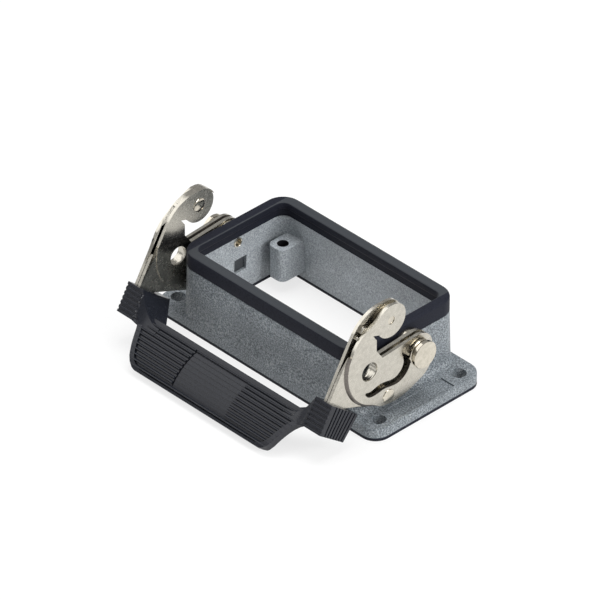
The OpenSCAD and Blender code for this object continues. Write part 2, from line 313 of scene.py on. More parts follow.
def math_node(nodes, links, operation, *values):
    """One sum. Each value is a number or another node's output."""
    node = nodes.new("ShaderNodeMath")
    node.operation = operation
    for socket, value in zip(node.inputs, values):
        if isinstance(value, (int, float)):
            socket.default_value = value
        else:
            links.new(value, socket)
    return node


def mix_node(nodes, blend_type="MIX"):
    mix = nodes.new("ShaderNodeMix")
    mix.data_type = "RGBA"
    mix.blend_type = blend_type
    return mix


# %% Noise, colour bands and bumps
def object_noise(nodes, links, scale, detail=4, rough=0.55):
    place = nodes.new("ShaderNodeTexCoord")
    noise = nodes.new("ShaderNodeTexNoise")
    noise.inputs["Scale"].default_value = scale
    noise.inputs["Detail"].default_value = detail
    noise.inputs["Roughness"].default_value = rough
    links.new(place.outputs["Object"], noise.inputs["Vector"])
    return noise


def ramp(nodes, links, source, stops):
    band = nodes.new("ShaderNodeValToRGB")
    while len(band.color_ramp.elements) < len(stops):
        band.color_ramp.elements.new(0.5)
    for element, (place, colour) in zip(band.color_ramp.elements, stops):
        element.position = place
        element.color = (*colour, 1)
    links.new(source, band.inputs["Fac"])
    return band


def add_bump(nodes, links, source, strength, distance, below=None):
    bump = nodes.new("ShaderNodeBump")
    bump.inputs["Strength"].default_value = strength
    bump.inputs["Distance"].default_value = distance
    links.new(source, bump.inputs["Height"])
    if below:
        links.new(below.outputs["Normal"], bump.inputs["Normal"])
    links.new(bump.outputs["Normal"], shader_of(nodes).inputs["Normal"])
    return bump


# %% A box as a mask
def within(nodes, links, half):
    """1 inside a box round the origin, given by its half sizes in mm, else 0."""
    place = nodes.new("ShaderNodeTexCoord")
    parts = nodes.new("ShaderNodeSeparateXYZ")
    links.new(place.outputs["Object"], parts.inputs["Vector"])
    product = None
    for axis, limit in zip("XYZ", half):
        away = math_node(nodes, links, "ABSOLUTE", parts.outputs[axis])
        test = math_node(nodes, links, "LESS_THAN", away.outputs["Value"], limit * MM)
        if product:
            test = math_node(nodes, links, "MULTIPLY", product, test.outputs["Value"])
        product = test.outputs["Value"]
    return product


# %% [markdown]
# ## Floor and light
# Product shots of small metal parts are made on a white sweep under large soft
# boxes. The floor here is a mix. To the camera, and in reflections, a share of
# it is a plain white glow. The rest is white paper, which darkens where the
# object's shadow falls, and lamps see nothing but the paper.

# %% Floor
FLOOR_SIZE, FLOOR_DROP = 6, 0.00002  # metres
GLOW_SHARE = 0.74

bpy.ops.object.select_all(action="DESELECT")
bpy.ops.mesh.primitive_plane_add(size=FLOOR_SIZE, location=(0, 0, -FLOOR_DROP))
floor = bpy.context.object
floor.name = "floor"
white_paper, nodes, links = new_material("white_paper")
paper = shader_of(nodes)
paper.inputs["Base Color"].default_value = (0.9, 0.9, 0.9, 1)
paper.inputs["Roughness"].default_value = 0.9
glow = nodes.new("ShaderNodeEmission")
glow.inputs["Strength"].default_value = 1.0
rays = nodes.new("ShaderNodeLightPath")
seen = rays.outputs["Is Camera Ray"]
for kind in ("Is Glossy Ray", "Is Transmission Ray"):
    seen = math_node(nodes, links, "ADD", seen, rays.outputs[kind]).outputs["Value"]
share = math_node(nodes, links, "MULTIPLY", seen, GLOW_SHARE)
share.use_clamp = True
blend = nodes.new("ShaderNodeMixShader")
links.new(share.outputs["Value"], blend.inputs["Fac"])
links.new(paper.outputs["BSDF"], blend.inputs[1])
links.new(glow.outputs["Emission"], blend.inputs[2])
links.new(blend.outputs["Shader"], nodes["Material Output"].inputs["Surface"])
floor.data.materials.append(white_paper)
print("floor", FLOOR_SIZE, "m, glow share", GLOW_SHARE)

# %% World
SKY_STRENGTH = 0.35

world = bpy.context.scene.world or bpy.data.worlds.new("studio")
bpy.context.scene.world = world
world.use_nodes = True
sky = world.node_tree.nodes["Background"]
sky.inputs["Color"].default_value = (1, 1, 1, 1)
sky.inputs["Strength"].default_value = SKY_STRENGTH
bpy.context.scene.view_settings.view_transform = "Standard"
print("sky strength", SKY_STRENGTH)


# %% Soft boxes
def soft_box(name, at, aim, side, power):
    """A square lamp at a place, turned to its aim, its side in metres."""
    bpy.ops.object.light_add(type="AREA", location=at)
    lamp = bpy.context.object
    lamp.name = name
    lamp.data.shape = "RECTANGLE"
    lamp.data.size = side
    lamp.data.size_y = side
    lamp.data.energy = power
    lamp.rotation_mode = "QUATERNION"
    way = Vector(aim) - Vector(at)
    lamp.rotation_quaternion = way.to_track_quat("-Z", "Y")
    print(f"{name}: {side} m wide, {power} W, {way.length:.2f} m away")
    return lamp


soft_box("key_right", (0.8, 0.15, 0.45), (0, 0, 0.015), 0.45, 6.5)
soft_box("fill_left", (-0.6, -0.35, 0.75), (0, 0, 0.015), 1.2, 6)
soft_box("top", (0, 0.1, 0.9), (0, 0, 0), 0.5, 4.5)


# %% [markdown]
# ## Finishes
# Each finish is built from noise in object space, in metres, so its grain has
# its real size on every part. The casting is powder coated. The coat's grain
# is fine and has more contrast than a smooth paint. Inside the bay the coat is
# painted a little lighter, as painted light for the light that bounces up from
# the floor into the open bay.

# %% Powder coat
BAY_HALF = (34.6, 19.7, 24)

coat, nodes, links = new_material("grey_powder_coat")
peel = object_noise(nodes, links, 2300, detail=2, rough=0.6)
cloud = object_noise(nodes, links, 90, detail=3, rough=0.6)
dark, middle, light = (0.055, 0.066, 0.080), (0.165, 0.188, 0.206), (0.330, 0.355, 0.372)
stops = [(0.34, dark), (0.5, middle), (0.66, light)]
tone = ramp(nodes, links, peel.outputs["Fac"], stops)
soft_tone = mix_node(nodes, "OVERLAY")
soft_tone.inputs["Factor"].default_value = 0.35
links.new(tone.outputs["Color"], soft_tone.inputs["A"])
links.new(cloud.outputs["Fac"], soft_tone.inputs["B"])
# Painted light: inside the box of the bay, grey is added to the coat's colour to stand in
# for the light the floor throws up into the bay.
painted_bay_light = mix_node(nodes, "ADD")
painted_bay_light.inputs["Factor"].default_value = 1.0
links.new(soft_tone.outputs["Result"], painted_bay_light.inputs["A"])
painted_bay_light.inputs["B"].default_value = (0.15, 0.155, 0.16, 1)
inside = mix_node(nodes)
links.new(within(nodes, links, BAY_HALF), inside.inputs["Factor"])
links.new(soft_tone.outputs["Result"], inside.inputs["A"])
links.new(painted_bay_light.outputs["Result"], inside.inputs["B"])
links.new(inside.outputs["Result"], shader_of(nodes).inputs["Base Color"])
shader_of(nodes).inputs["Roughness"].default_value = 0.48
grain = object_noise(nodes, links, 2600, detail=3, rough=0.5)
fine_bump = add_bump(nodes, links, grain.outputs["Fac"], 0.4, 0.00008)
add_bump(nodes, links, peel.outputs["Fac"], 0.55, 0.00022, fine_bump)
print("made", coat.name)

# %% [markdown]
# Rubber is nearly black and hardly shines. On the top of the rim seal's long
# sides the colour is painted greyer, a painted sheen for the light that falls
# on that face from above: that strip is a tall box less the same box cut off
# just under the seal's top.

# %% Rubber
TALL_BOX, LOW_BOX = (33, 30, 40), (33, 30, 25.95)

rubber, nodes, links = new_material("black_rubber")
fine = object_noise(nodes, links, 3500, detail=3)
stops = [(0.3, (0.008, 0.009, 0.015)), (0.75, (0.020, 0.022, 0.032))]
tone = ramp(nodes, links, fine.outputs["Fac"], stops)
masks = [within(nodes, links, half) for half in (TALL_BOX, LOW_BOX)]
only_top = math_node(nodes, links, "SUBTRACT", *masks)
# Painted sheen: the top strip of the seal is made greyer than the rest.
painted_top_sheen = mix_node(nodes)
links.new(only_top.outputs["Value"], painted_top_sheen.inputs["Factor"])
links.new(tone.outputs["Color"], painted_top_sheen.inputs["A"])
painted_top_sheen.inputs["B"].default_value = (0.042, 0.046, 0.052, 1)
links.new(painted_top_sheen.outputs["Result"], shader_of(nodes).inputs["Base Color"])
shader_of(nodes).inputs["Roughness"].default_value = 0.55
shader_of(nodes).inputs["Specular IOR Level"].default_value = 0.1
add_bump(nodes, links, fine.outputs["Fac"], 0.25, 0.00005)
print("made", rubber.name)

# %% [markdown]
# Nickel is a warm bright metal. One noise makes both its colour and its gloss
# uneven, and a finer one gives it faint scuffs. The sheets are duller than the
# turned parts.


# %% Nickel
def nickel(name, colour, rough):
    metal, nodes, links = new_material(name)
    wear = object_noise(nodes, links, 700, detail=4, rough=0.6).outputs["Fac"]
    stops = [(0.32, [part * 0.82 for part in colour]), (0.66, colour)]
    tone = ramp(nodes, links, wear, stops)
    links.new(tone.outputs["Color"], shader_of(nodes).inputs["Base Color"])
    stops = [(0.3, [rough * 0.85] * 3), (0.7, [rough * 1.2] * 3)]
    polish = ramp(nodes, links, wear, stops)
    links.new(polish.outputs["Color"], shader_of(nodes).inputs["Roughness"])
    shader_of(nodes).inputs["Metallic"].default_value = 1
    scuff = object_noise(nodes, links, 1800, detail=3)
    add_bump(nodes, links, scuff.outputs["Fac"], 0.12, 0.00004)
    print("made", metal.name)
    return metal


sheet_metal = nickel("nickel_sheet_metal", (0.62, 0.59, 0.52), 0.25)
turned_metal = nickel("nickel_turned_metal", (0.70, 0.65, 0.55), 0.15)

# %% [markdown]
# Some faces are painted darker than the part they belong to: painted shade for
# the shade in the slot, along the soft step in the sheet, on the backs of two
# pockets, and in the holes of the bosses. They get a finish of their own by the
# place and the normal of their faces.


# %% Finishes with painted shade
def shade_finish(name, colour, metallic, rough):
    finish, nodes, links = new_material(name)
    speck = object_noise(nodes, links, 2200, detail=3).outputs["Fac"]
    stops = [(0.3, [part * 0.7 for part in colour]), (0.7, colour)]
    tone = ramp(nodes, links, speck, stops)
    links.new(tone.outputs["Color"], shader_of(nodes).inputs["Base Color"])
    shader_of(nodes).inputs["Metallic"].default_value = metallic
    shader_of(nodes).inputs["Roughness"].default_value = rough
    add_bump(nodes, links, speck, 0.3, 0.00004)
    print("made", finish.name)
    return finish


# Painted shade: the four finishes below are dark colours put where shade falls.
slot_shade = shade_finish("painted_slot_shade", (0.085, 0.075, 0.066), 0.9, 0.5)
painted_step_shade = shade_finish("painted_step_shade", (0.22, 0.20, 0.18), 0.9, 0.4)
painted_pocket_shade = shade_finish("painted_pocket_shade", (0.045, 0.050, 0.056), 0.0, 0.7)
hole_shade = shade_finish("painted_hole_shade", (0.006, 0.006, 0.009), 0.0, 0.6)


def paint_faces(piece, finish, wanted):
    """Give the faces that wanted() picks, by centre and normal, their own finish."""
    piece.data.materials.append(finish)
    number = len(piece.data.materials) - 1
    count = 0
    for face in piece.data.polygons:
        if wanted(face.center / MM, face.normal):
            face.material_index = number
            count += 1
    print(f"{piece.name}: {count} faces in {finish.name}")


# %% Handle plastic
plastic, nodes, links = new_material("black_handle_plastic")
spark = object_noise(nodes, links, 3000, detail=3).outputs["Fac"]
stops = [(0.3, (0.007, 0.008, 0.012)), (0.75, (0.016, 0.018, 0.025))]
tone = ramp(nodes, links, spark, stops)
links.new(tone.outputs["Color"], shader_of(nodes).inputs["Base Color"])
shader_of(nodes).inputs["Roughness"].default_value = 0.27
shader_of(nodes).inputs["Specular IOR Level"].default_value = 0.34
add_bump(nodes, links, spark, 0.3, 0.00005)
print("made", plastic.name)


# %% [markdown]
# ## Housing
# The housing is a die casting: a box with leaning walls that grows out of a
# flange. It is lofted here from rounded rectangles. Each ring is a plane whose
# corners are bevelled, and each new ring is bridged to the one before: up the
# inside of the bay, over the tongue that holds the seal, down the outside,
# round the foot and the flange, and back along the underside. Some rings lie
# at one height, inside each other. While they are bridged, each ring stands a
# bit higher than the last, and in the end all of them drop back.


# %% Loft a closed band from rounded rectangles
def place_key(co):
    return tuple(round(c / MM, 3) for c in co)


def add_ring(piece, length, width, radius, z, segments):
    bpy.ops.mesh.select_all(action="DESELECT")
    bpy.ops.mesh.primitive_plane_add(size=1, location=(0, 0, z * MM))
    bpy.ops.transform.resize(
        value=(length * MM, width * MM, 1), center_override=(0, 0, z * MM)
    )
    bpy.ops.mesh.bevel(
        offset=radius * MM,
        offset_type="OFFSET",
        segments=segments,
        affect="VERTICES",
        profile=0.5,
        clamp_overlap=False,
    )
    bpy.ops.mesh.delete(type="ONLY_FACE")
    mesh = bmesh.from_edit_mesh(piece.data)
    return {place_key(v.co) for v in mesh.verts}


LIFT = 0.5


def loft_rings(name, rings, segments=9):
    """Each ring is length, width, corner radius and height."""
    bpy.ops.object.select_all(action="DESELECT")
    bpy.ops.mesh.primitive_plane_add(size=1, location=(0, 0, 0))
    piece = bpy.context.object
    piece.name = name
    bpy.ops.object.mode_set(mode="EDIT")
    bpy.ops.mesh.delete(type="VERT")
    bpy.ops.mesh.select_mode(type="VERT")
    seen, loops = set(), []
    for number, (length, width, radius, z) in enumerate(rings):
        keys = add_ring(piece, length, width, radius, z + LIFT * number, segments)
        loops.append(keys - seen)
        seen |= keys
    for one, two in zip(loops, loops[1:] + loops[:1]):
        mesh = bmesh.from_edit_mesh(piece.data)
        bpy.ops.mesh.select_all(action="DESELECT")
        for edge in mesh.edges:
            ends = {place_key(v.co) for v in edge.verts}
            edge.select_set(ends <= one or ends <= two)
        bmesh.update_edit_mesh(piece.data)
        bpy.ops.mesh.bridge_edge_loops()
    mesh = bmesh.from_edit_mesh(piece.data)
    members = [[v for v in mesh.verts if place_key(v.co) in loop] for loop in loops]
    for number, ring in enumerate(members):
        bpy.ops.mesh.select_all(action="DESELECT")
        for vert in ring:
            vert.select_set(True)
        bpy.ops.transform.translate(value=(0, 0, -LIFT * MM * number))
    end_edit()
    face_out(piece)
    return piece


# %% Housing body
WALL_TOP, RIM_TOP, FLANGE_TOP, GASKET = 21.2, 26.2, 4.0, 1.0
PIVOT = 19.6  # height of the lever's axis
FOOT_WIDTH, WALL_LEAN = 43.5, 1.5
FOOT_R = 2  # fillet between an end wall and the flange


def wall_width(z):
    return FOOT_WIDTH - WALL_LEAN * (z - GASKET) / (WALL_TOP - GASKET)


def foot_ring(angle):
    across = FOOT_R * math.cos(math.radians(angle))
    z = FLANGE_TOP + FOOT_R - FOOT_R * math.sin(math.radians(angle))
    return (76 - 2 * across, wall_width(z), 8 - across, z)


housing = loft_rings(
    "housing_casting",
    [
        (68.4, 39.1, 4.6, GASKET),
        (66.4, 36.4, 4.6, WALL_TOP),
        (67.8, 37.8, 3.9, WALL_TOP),
        (67.8, 37.8, 3.9, 24.6),
        (70.6, 40.6, 5.3, 24.6),
        (70.6, 40.6, 5.3, WALL_TOP),
        (72, 42, 6, WALL_TOP),
        *[foot_ring(angle) for angle in (0, 22.5, 45, 67.5, 90)],
        (91, 43.34, 4.6, FLANGE_TOP),
        (91.7, 43.44, 4.85, 3.85),
        (92, 43.5, 5, 3.5),
        (92, 43.5, 5, GASKET),
    ],
)

# %% [markdown]
# The contact insert is screwed to four bosses in the corners of the bay. Each
# boss is a block with its two free corners rounded, joined to the casting.
# Then the screw holes are drilled, in the bosses and in the flange.

# %% Insert bosses
CORNERS = [(-1, -1), (-1, 1), (1, -1), (1, 1)]
INSERT_X, INSERT_Y = 28.5, 13.5
BOSS_HALF, BOSS_FREE, BOSS_BACK = 3.25, INSERT_Y - 3.4, 20.2
BOSS_FOOT, BOSS_TOP, BOSS_ROUND = 4, 15, 2.2

for side_x, side_y in CORNERS:
    x = side_x * INSERT_X
    y0, y1 = sorted((side_y * BOSS_FREE, side_y * BOSS_BACK))
    boss = block((x - BOSS_HALF, y0, BOSS_FOOT), (x + BOSS_HALF, y1, BOSS_TOP))
    start_edit(boss, "EDGE")
    mesh = bmesh.from_edit_mesh(boss.data)
    for edge in mesh.edges:
        ends = [(boss.location + v.co) / MM for v in edge.verts]
        stands = abs(ends[0].z - ends[1].z) > 1
        free = abs(abs(ends[0].y) - BOSS_FREE) < 0.1
        edge.select_set(stands and free)
    bmesh.update_edit_mesh(boss.data)
    bpy.ops.mesh.bevel(offset=BOSS_ROUND * MM, segments=8, affect="EDGES")
    end_edit()
    join(housing, boss)
print("housing with bosses:", len(housing.data.polygons), "faces")

# %% Screw holes
SCREW_X, SCREW_Y, SCREW_D = 41.5, 16, 4.5
INSERT_D, INSERT_BOTTOM = 3.5, 6

for side_x, side_y in CORNERS:
    x, y = side_x * INSERT_X, side_y * INSERT_Y
    cut(housing, post(INSERT_D, INSERT_BOTTOM, BOSS_TOP + 1, x, y))
    cut(housing, post(SCREW_D, 0, 10, side_x * SCREW_X, side_y * SCREW_Y))
print("housing with holes:", len(housing.data.polygons), "faces")

# %% [markdown]
# Last come a shallow blank field in the right end of the flange, a blind
# pocket inside each end wall and the holes of the two studs.

# %% Label field, pockets and stud holes
POCKETS = [(-1, 1.4), (1, 0.7)]  # end, and where its middle is along Y
POCKET_HALF, POCKET_BACK = 2.4, 34.9
POCKET_Z0, POCKET_Z1 = 8.2, 13.2

cut(housing, block((39.6, -10.8, FLANGE_TOP - 0.5), (45, 10.8, FLANGE_TOP + 1)))
for side, y in POCKETS:
    x0, x1 = sorted((side * 33.2, side * POCKET_BACK))
    low = (x0, y - POCKET_HALF, POCKET_Z0)
    cut(housing, block(low, (x1, y + POCKET_HALF, POCKET_Z1)))
cut(housing, peg(3, -40, 40, 0, PIVOT))
round_edges(housing, 0.3, 2, 40)
smooth(housing, 40)
settle(housing, "housing", coat, ["housing_shell"])


def in_boss_hole(centre, normal):
    away = math.hypot(abs(centre.x) - INSERT_X, abs(centre.y) - INSERT_Y)
    return away < INSERT_D / 2 + 0.1 and centre.z < BOSS_TOP - 0.25


def on_pocket_back(centre, normal):
    in_reach = POCKET_Z0 - 0.2 < centre.z < POCKET_Z1 + 0.2 and abs(centre.y) < 3.2
    at_back = POCKET_BACK - 0.1 < abs(centre.x) < POCKET_BACK + 0.3
    return in_reach and at_back and abs(normal.x) > 0.9


# Painted shade: the walls of the insert holes get a near black finish.
paint_faces(housing, hole_shade, in_boss_hole)
# Painted shade: the back of each pocket gets a dark finish.
paint_faces(housing, painted_pocket_shade, on_pocket_back)

# %% [markdown]
# ## Rubber seals
# The rim seal is a soft band pressed over the rim. Its top is a lip that
# reaches a little into the bay, and all its edges are round. The flange gasket
# is a flat black sheet that shows as a thin dark line on the panel.

# %% Rim seal
seal = loft_rings(
    "rim_seal_band",
    [
        (66.4, 36.4, 3.2, WALL_TOP),
        (66.4, 36.4, 3.2, 23.5),
        (65.6, 35.6, 2.8, 23.8),
        (65.2, 35.2, 2.6, 24.2),
        (65.2, 35.2, 2.6, 25.7),
        (65.5, 35.5, 2.75, 26.05),
        (66.2, 36.2, 3.1, RIM_TOP),
        (70.9, 40.9, 5.45, RIM_TOP),
        (71.7, 41.7, 5.85, 26),
        (72, 42, 6, 25.5),
        (72, 42, 6, 21.4),
        (71.6, 41.6, 5.8, WALL_TOP),
    ],
)
smooth(seal, 50)
settle(seal, "housing", rubber, ["rim_seal"])

# %% Flange gasket
gasket = loft_rings(
    "flange_gasket",
    [
        (68.4, 39.1, 4.6, 0),
        (68.4, 39.1, 4.6, GASKET),
        (92, 43.5, 5, GASKET),
        (92, 43.5, 5, 0),
    ],
)
for side_x, side_y in CORNERS:
    cut(gasket, post(SCREW_D, -1, 3, side_x * SCREW_X, side_y * SCREW_Y))
smooth(gasket, 40)
settle(gasket, "housing", rubber, ["flange_seal"])

# %% [markdown]
# ## Turned parts
# Studs, washers, rollers and rivets are turned on a lathe, so each one is a
# half profile that is spun once round its axis. All of them are made for the
# right end and mirrored to the left. Places on the lever are given along Y and
# Z from its pivot: the hook's rivet, the arm's rivet and the window.

# %% Spin a profile
HOOK, ARM, WINDOW = (-10.8, 15.9), (-11.7, -9.9), (-19.2, 2.2)


def turned(name, profile, at=(0, 0), steps=48):
    """Profile points are x and radius. The axis runs at y, z from the pivot."""
    points = [(x, at[0], PIVOT + at[1] + r) for x, r in profile]
    piece = draw_chain(name, points, closed=False)
    bpy.ops.mesh.select_all(action="SELECT")
    bpy.ops.mesh.spin(
        steps=steps,
        angle=2 * math.pi,
        center=(0, at[0] * MM, (PIVOT + at[1]) * MM),
        axis=(1, 0, 0),
    )
    face_out(piece)
    return piece


def both_ends(piece, stem, node, body, material):
    """Mirror a right piece to the left end and put both in place."""
    piece.name = "right_" + stem
    smooth(piece, 35)
    twin = mirrored(piece, "left_" + stem)
    smooth(twin, 35)
    settle(piece, body, material, ["right_" + node] if node else None)
    settle(twin, body, material, ["left_" + node] if node else None)
    return piece, twin


# %% Studs and washers
stud = turned(
    "stud",
    [
        (34.3, 0),
        (34.3, 1.05),
        (33.0, 1.15),
        (32.85, 1.3),
        (32.95, 1.55),
        (33.3, 1.6),
        (36, 1.6),
        (36, 3),
        (42.2, 3),
        (42.2, 3.45),
        (42.75, 3.45),
        (42.75, 4.15),
        (42.9, 4.3),
        (43.85, 4.3),
        (44, 4.18),
        (44, 0),
    ],
)
both_ends(stud, "stud", "pivot_stud", "housing", turned_metal)
washer = turned(
    "washer",
    [
        (36, 3.06),
        (36, 5.0),
        (36.15, 5.2),
        (37.55, 5.2),
        (37.7, 5.0),
        (37.7, 3.06),
        (36, 3.06),
    ],
)
both_ends(washer, "washer_inside", "wall_washer", "housing", turned_metal)
washer = turned(
    "washer",
    [
        (41.3, 3.06),
        (41.3, 3.9),
        (41.45, 4.1),
        (42.0, 4.1),
        (42.15, 3.9),
        (42.15, 3.06),
        (41.3, 3.06),
    ],
)
both_ends(washer, "washer_outside", "head_washer", "housing", turned_metal)

# %% Rollers, spacers and rivets
roller = turned(
    "roller",
    [
        (39.05, 1.36),
        (39.05, 4.4),
        (39.2, 4.6),
        (39.8, 4.6),
        (39.95, 4.4),
        (39.95, 1.36),
        (39.05, 1.36),
    ],
    HOOK,
)
both_ends(roller, "roller", "hook_roller", "lever", turned_metal)
spacer = turned(
    "spacer",
    [(39, 1.3), (39, 2.2), (40, 2.2), (40, 1.3), (39, 1.3)],
    ARM,
)
both_ends(spacer, "spacer", "arm_spacer", "lever", turned_metal)
rivet = turned(
    "rivet",
    [
        (37.5, 0),
        (37.5, 1.9),
        (37.7, 2.2),
        (38, 2.2),
        (38, 1.3),
        (40.8, 1.3),
        (40.82, 1.05),
        (40.8, 0),
    ],
    HOOK,
)
both_ends(rivet, "rivet_upper", "hook_rivet", "lever", turned_metal)
rivet = turned(
    "rivet",
    [
        (38, 0),
        (38, 1.3),
        (41, 1.3),
        (41, 2.2),
        (41.2, 2.1),
        (41.28, 1.7),
        (41.28, 0),
    ],
    ARM,
)
both_ends(rivet, "rivet_lower", "arm_rivet", "lever", turned_metal)

# %% [markdown]
# ## Lever cheeks
# Each cheek is two stamped sheets with a roller between them at the hook. Their
# common outline is a run of arcs and points: the eye round the pivot, the heel
# and the belly below, the tail that the handle holds, the long back, the round
# end of the hook, and its mouth.

# %% Outline of a cheek, seen along X from the pivot
EYE = 5.6
HEEL = ((-1.6, -3.2), 7.4)
BELLY = ((-9.2, 5.5), 18.3)
BACK = ((-13.3, 9.1), 12.4)
HOOK_R = 5.6
MOUTH = [(-15.4, 13), (-17.9, 13.9), (-16.5, 11.8), (-16.5, 8.0), (-14.1, 4.6)]
TAIL = [(-28.8, -6.1), (-29.34, -5.66), (-32.2, -10.48), (-36.52, -6.95)]
TAIL += [(-33.66, -2.14), (-34.2, -1.7)]
front_edge = arc((0, 0), EYE, 90, 12, 10) + arc(*HEEL, 12, -60, 8)
back_edge = arc(*BACK, 146, 90, 14)
outline = front_edge + arc(*BELLY, -64, -118, 12) + TAIL + back_edge
outline += arc(HOOK, HOOK_R, 85, -147, 28) + MOUTH
print("cheek outline", len(outline), "points")


# %% [markdown]
# The same drawing cuts the holes in both sheets: the bearing of the stud, the
# round window, and two rivet holes.


# %% Holes of a cheek
BEARING_D, WINDOW_D, RIVET_D = 6.1, 6, 2.6


def upright(points, x):
    """Turn drawn points, along Y and Z from the pivot, into points at x."""
    return [(x, y, PIVOT + z) for y, z in points]


def cut_cheek_holes(sheet):
    cut(sheet, peg(BEARING_D, 36, 43, 0, PIVOT, 64))
    cut(sheet, peg(WINDOW_D, 36, 43, WINDOW[0], PIVOT + WINDOW[1], 56))
    for y, z in (HOOK, ARM):
        cut(sheet, peg(RIVET_D, 36, 43, y, PIVOT + z, 40))


# %% [markdown]
# The outer sheet is a pressing with three levels: the flat pad, a soft step
# round it, and the lower tail. Three curves with the same number of points run
# side by side, the middle one a little rounded, and bridging them makes the
# step. Along the back edge the step runs into the rolled edge of the sheet.


# %% Curves of the step
BACK_RUN, BACK_RISE = 10.62, 17.73


def back_point(z):
    share = (z - TAIL[-1][1]) / BACK_RISE
    return (TAIL[-1][0] + BACK_RUN * share, z)


STEP_C, STEP_R, STEP_W, STEP_DROP = (-12.6, 4.2), 15, 0.85, 0.8
HOOK_BACK = [(-26.1, 10.2), (-25.2, 12.0), (-23.8, 13.8), (-22.2, 15.3)]
HOOK_BACK += [(-20.4, 16.4), (-18.7, 17.1), (-17.1, 17.8), (-15.7, 18.7)]
HOOK_BACK += [(-14.4, 19.7), (-12.9, 20.5), (-11.2, 20.95), (-9.6, 20.85)]
HOOK_BACK += [(-8.34, 20.54), (-7.15, 19.95), (-6.2, 19.0), (-5.68, 18.18)]
rim = [(-16.5, -11.28), (-17.4, -10.72)]
rim += arc(STEP_C, STEP_R + STEP_W, 248, 163.5, 14) + [back_point(10.6)]
pad_line = [(-15.5, -11.6), (-16.7, -10.7)]
pad_line += arc(STEP_C, STEP_R, 248, 165, 14) + HOOK_BACK
step_top = pad_line[: len(rim)]
mid_line = [
    ((a[0] + b[0]) / 2, (a[1] + b[1]) / 2) for a, b in zip(step_top, rim)
]
pad_outline = arc(HOOK, HOOK_R, 15, -147, 24) + MOUTH + front_edge
pad_outline += arc(*BELLY, -64, -108, 10) + pad_line
print("pad", len(pad_outline), "points, of which", len(rim), "on the step")

# %% [markdown]
# The inner sheet is flat and has the full outline. Its pad stands a little
# prouder towards the wall, so a second thin plate is joined to it there.

# %% Inner sheets
inner = draw_plate("inner_sheet", upright(outline, 38), (1, 0, 0))
join(inner, draw_plate("inner_pad", upright(pad_outline, 37.8), (0.4, 0, 0)))
cut_cheek_holes(inner)
round_edges(inner, 0.12, 2, 40)
inner_ends = both_ends(
    inner, "cheek_inner_sheet", "inner_cheek", "lever", sheet_metal
)

# %% [markdown]
# The two cheeks are stamped from the same pair of blanks: on both of them it is
# the sheet towards +X that stops short round the back of the hook and leaves
# the gap with the roller open. So on the left cheek the crescent that the outer
# sheet lacks goes back on, and the inner one is cut there instead. The back of
# the cutting plate lies in the sheet's own back face, so that cut isn't clean:
# it leaves open edges, and part of the plate, along the crescent.

# %% Crescent at the back of the left hook
crescent = [back_point(9.6)] + back_edge + arc(HOOK, HOOK_R, 85, 22, 10)
crescent += HOOK_BACK[::-1]


def crescent_plate(x, pull):
    return draw_plate("crescent", upright(crescent, x), (pull, 0, 0))


cut(inner_ends[1], crescent_plate(-39.3, 2.3))
smooth(inner_ends[1], 35)
print("crescent", len(crescent), "points")

# %% [markdown]
# The outer sheet is drawn as a surface without thickness: first the pad and the
# tail, each as one flat face, then the three curves of the step between them.

# %% Pad and tail of the outer sheet
PAD_X = 41


def draw_face(name, points):
    piece = draw_chain(name, points)
    bpy.ops.mesh.select_all(action="SELECT")
    bpy.ops.mesh.edge_face_add()
    end_edit()
    return piece


outer = draw_face("outer_sheet", upright(pad_outline, PAD_X))
tail_edge = [back_point(6), back_point(2)] + TAIL[::-1]
tail_edge += arc(*BELLY, -118, -114, 2)
tail = draw_face("tail", upright(rim + tail_edge, PAD_X - STEP_DROP))
print("tail", len(tail.data.vertices), "points")


# %% Bridge the step
def step_curve(name, points, depth):
    curve = draw_chain(name, upright(points, PAD_X - depth), closed=False)
    end_edit()
    return curve


def add_pieces(first, others):
    take(first)
    for other in others:
        other.select_set(True)
    bpy.ops.object.join()


def bridge_curves(first, second):
    add_pieces(first, [second])
    start_edit(first, "EDGE")
    bpy.ops.mesh.select_all(action="SELECT")
    bpy.ops.mesh.bridge_edge_loops()
    end_edit()
    return first


MID_DROP = 0.35 * STEP_DROP
upper = bridge_curves(
    step_curve("step_a", step_top, 0), step_curve("step_b", mid_line, MID_DROP)
)
lower = bridge_curves(
    step_curve("step_c", mid_line, MID_DROP), step_curve("step_d", rim, STEP_DROP)
)
add_pieces(outer, [tail, upper, lower])
print("outer sheet", len(outer.data.polygons), "faces")

# %% [markdown]
# The loose surfaces are welded where their points meet, and Solidify gives the
# sheet its one millimetre, away from the side that shows.

# %% Thickness of the outer sheet
start_edit(outer)
bpy.ops.mesh.select_all(action="SELECT")
bpy.ops.mesh.remove_doubles(threshold=0.02 * MM)
bpy.ops.mesh.normals_make_consistent(inside=False)
end_edit()
take(outer)
sheet = outer.modifiers.new("sheet", "SOLIDIFY")
sheet.thickness = 1.0 * MM
sheet.offset = 1 if outer.data.polygons[0].normal.x < 0 else -1
bpy.ops.object.modifier_apply(modifier=sheet.name)
face_out(outer)
print("outer sheet x", min(v.co.x for v in outer.data.vertices) / MM)

# %% [markdown]
# The S-shaped slot frees a springy arm. It is drawn with few points, and each
# round of softening cuts every corner off at a quarter of its two sides.

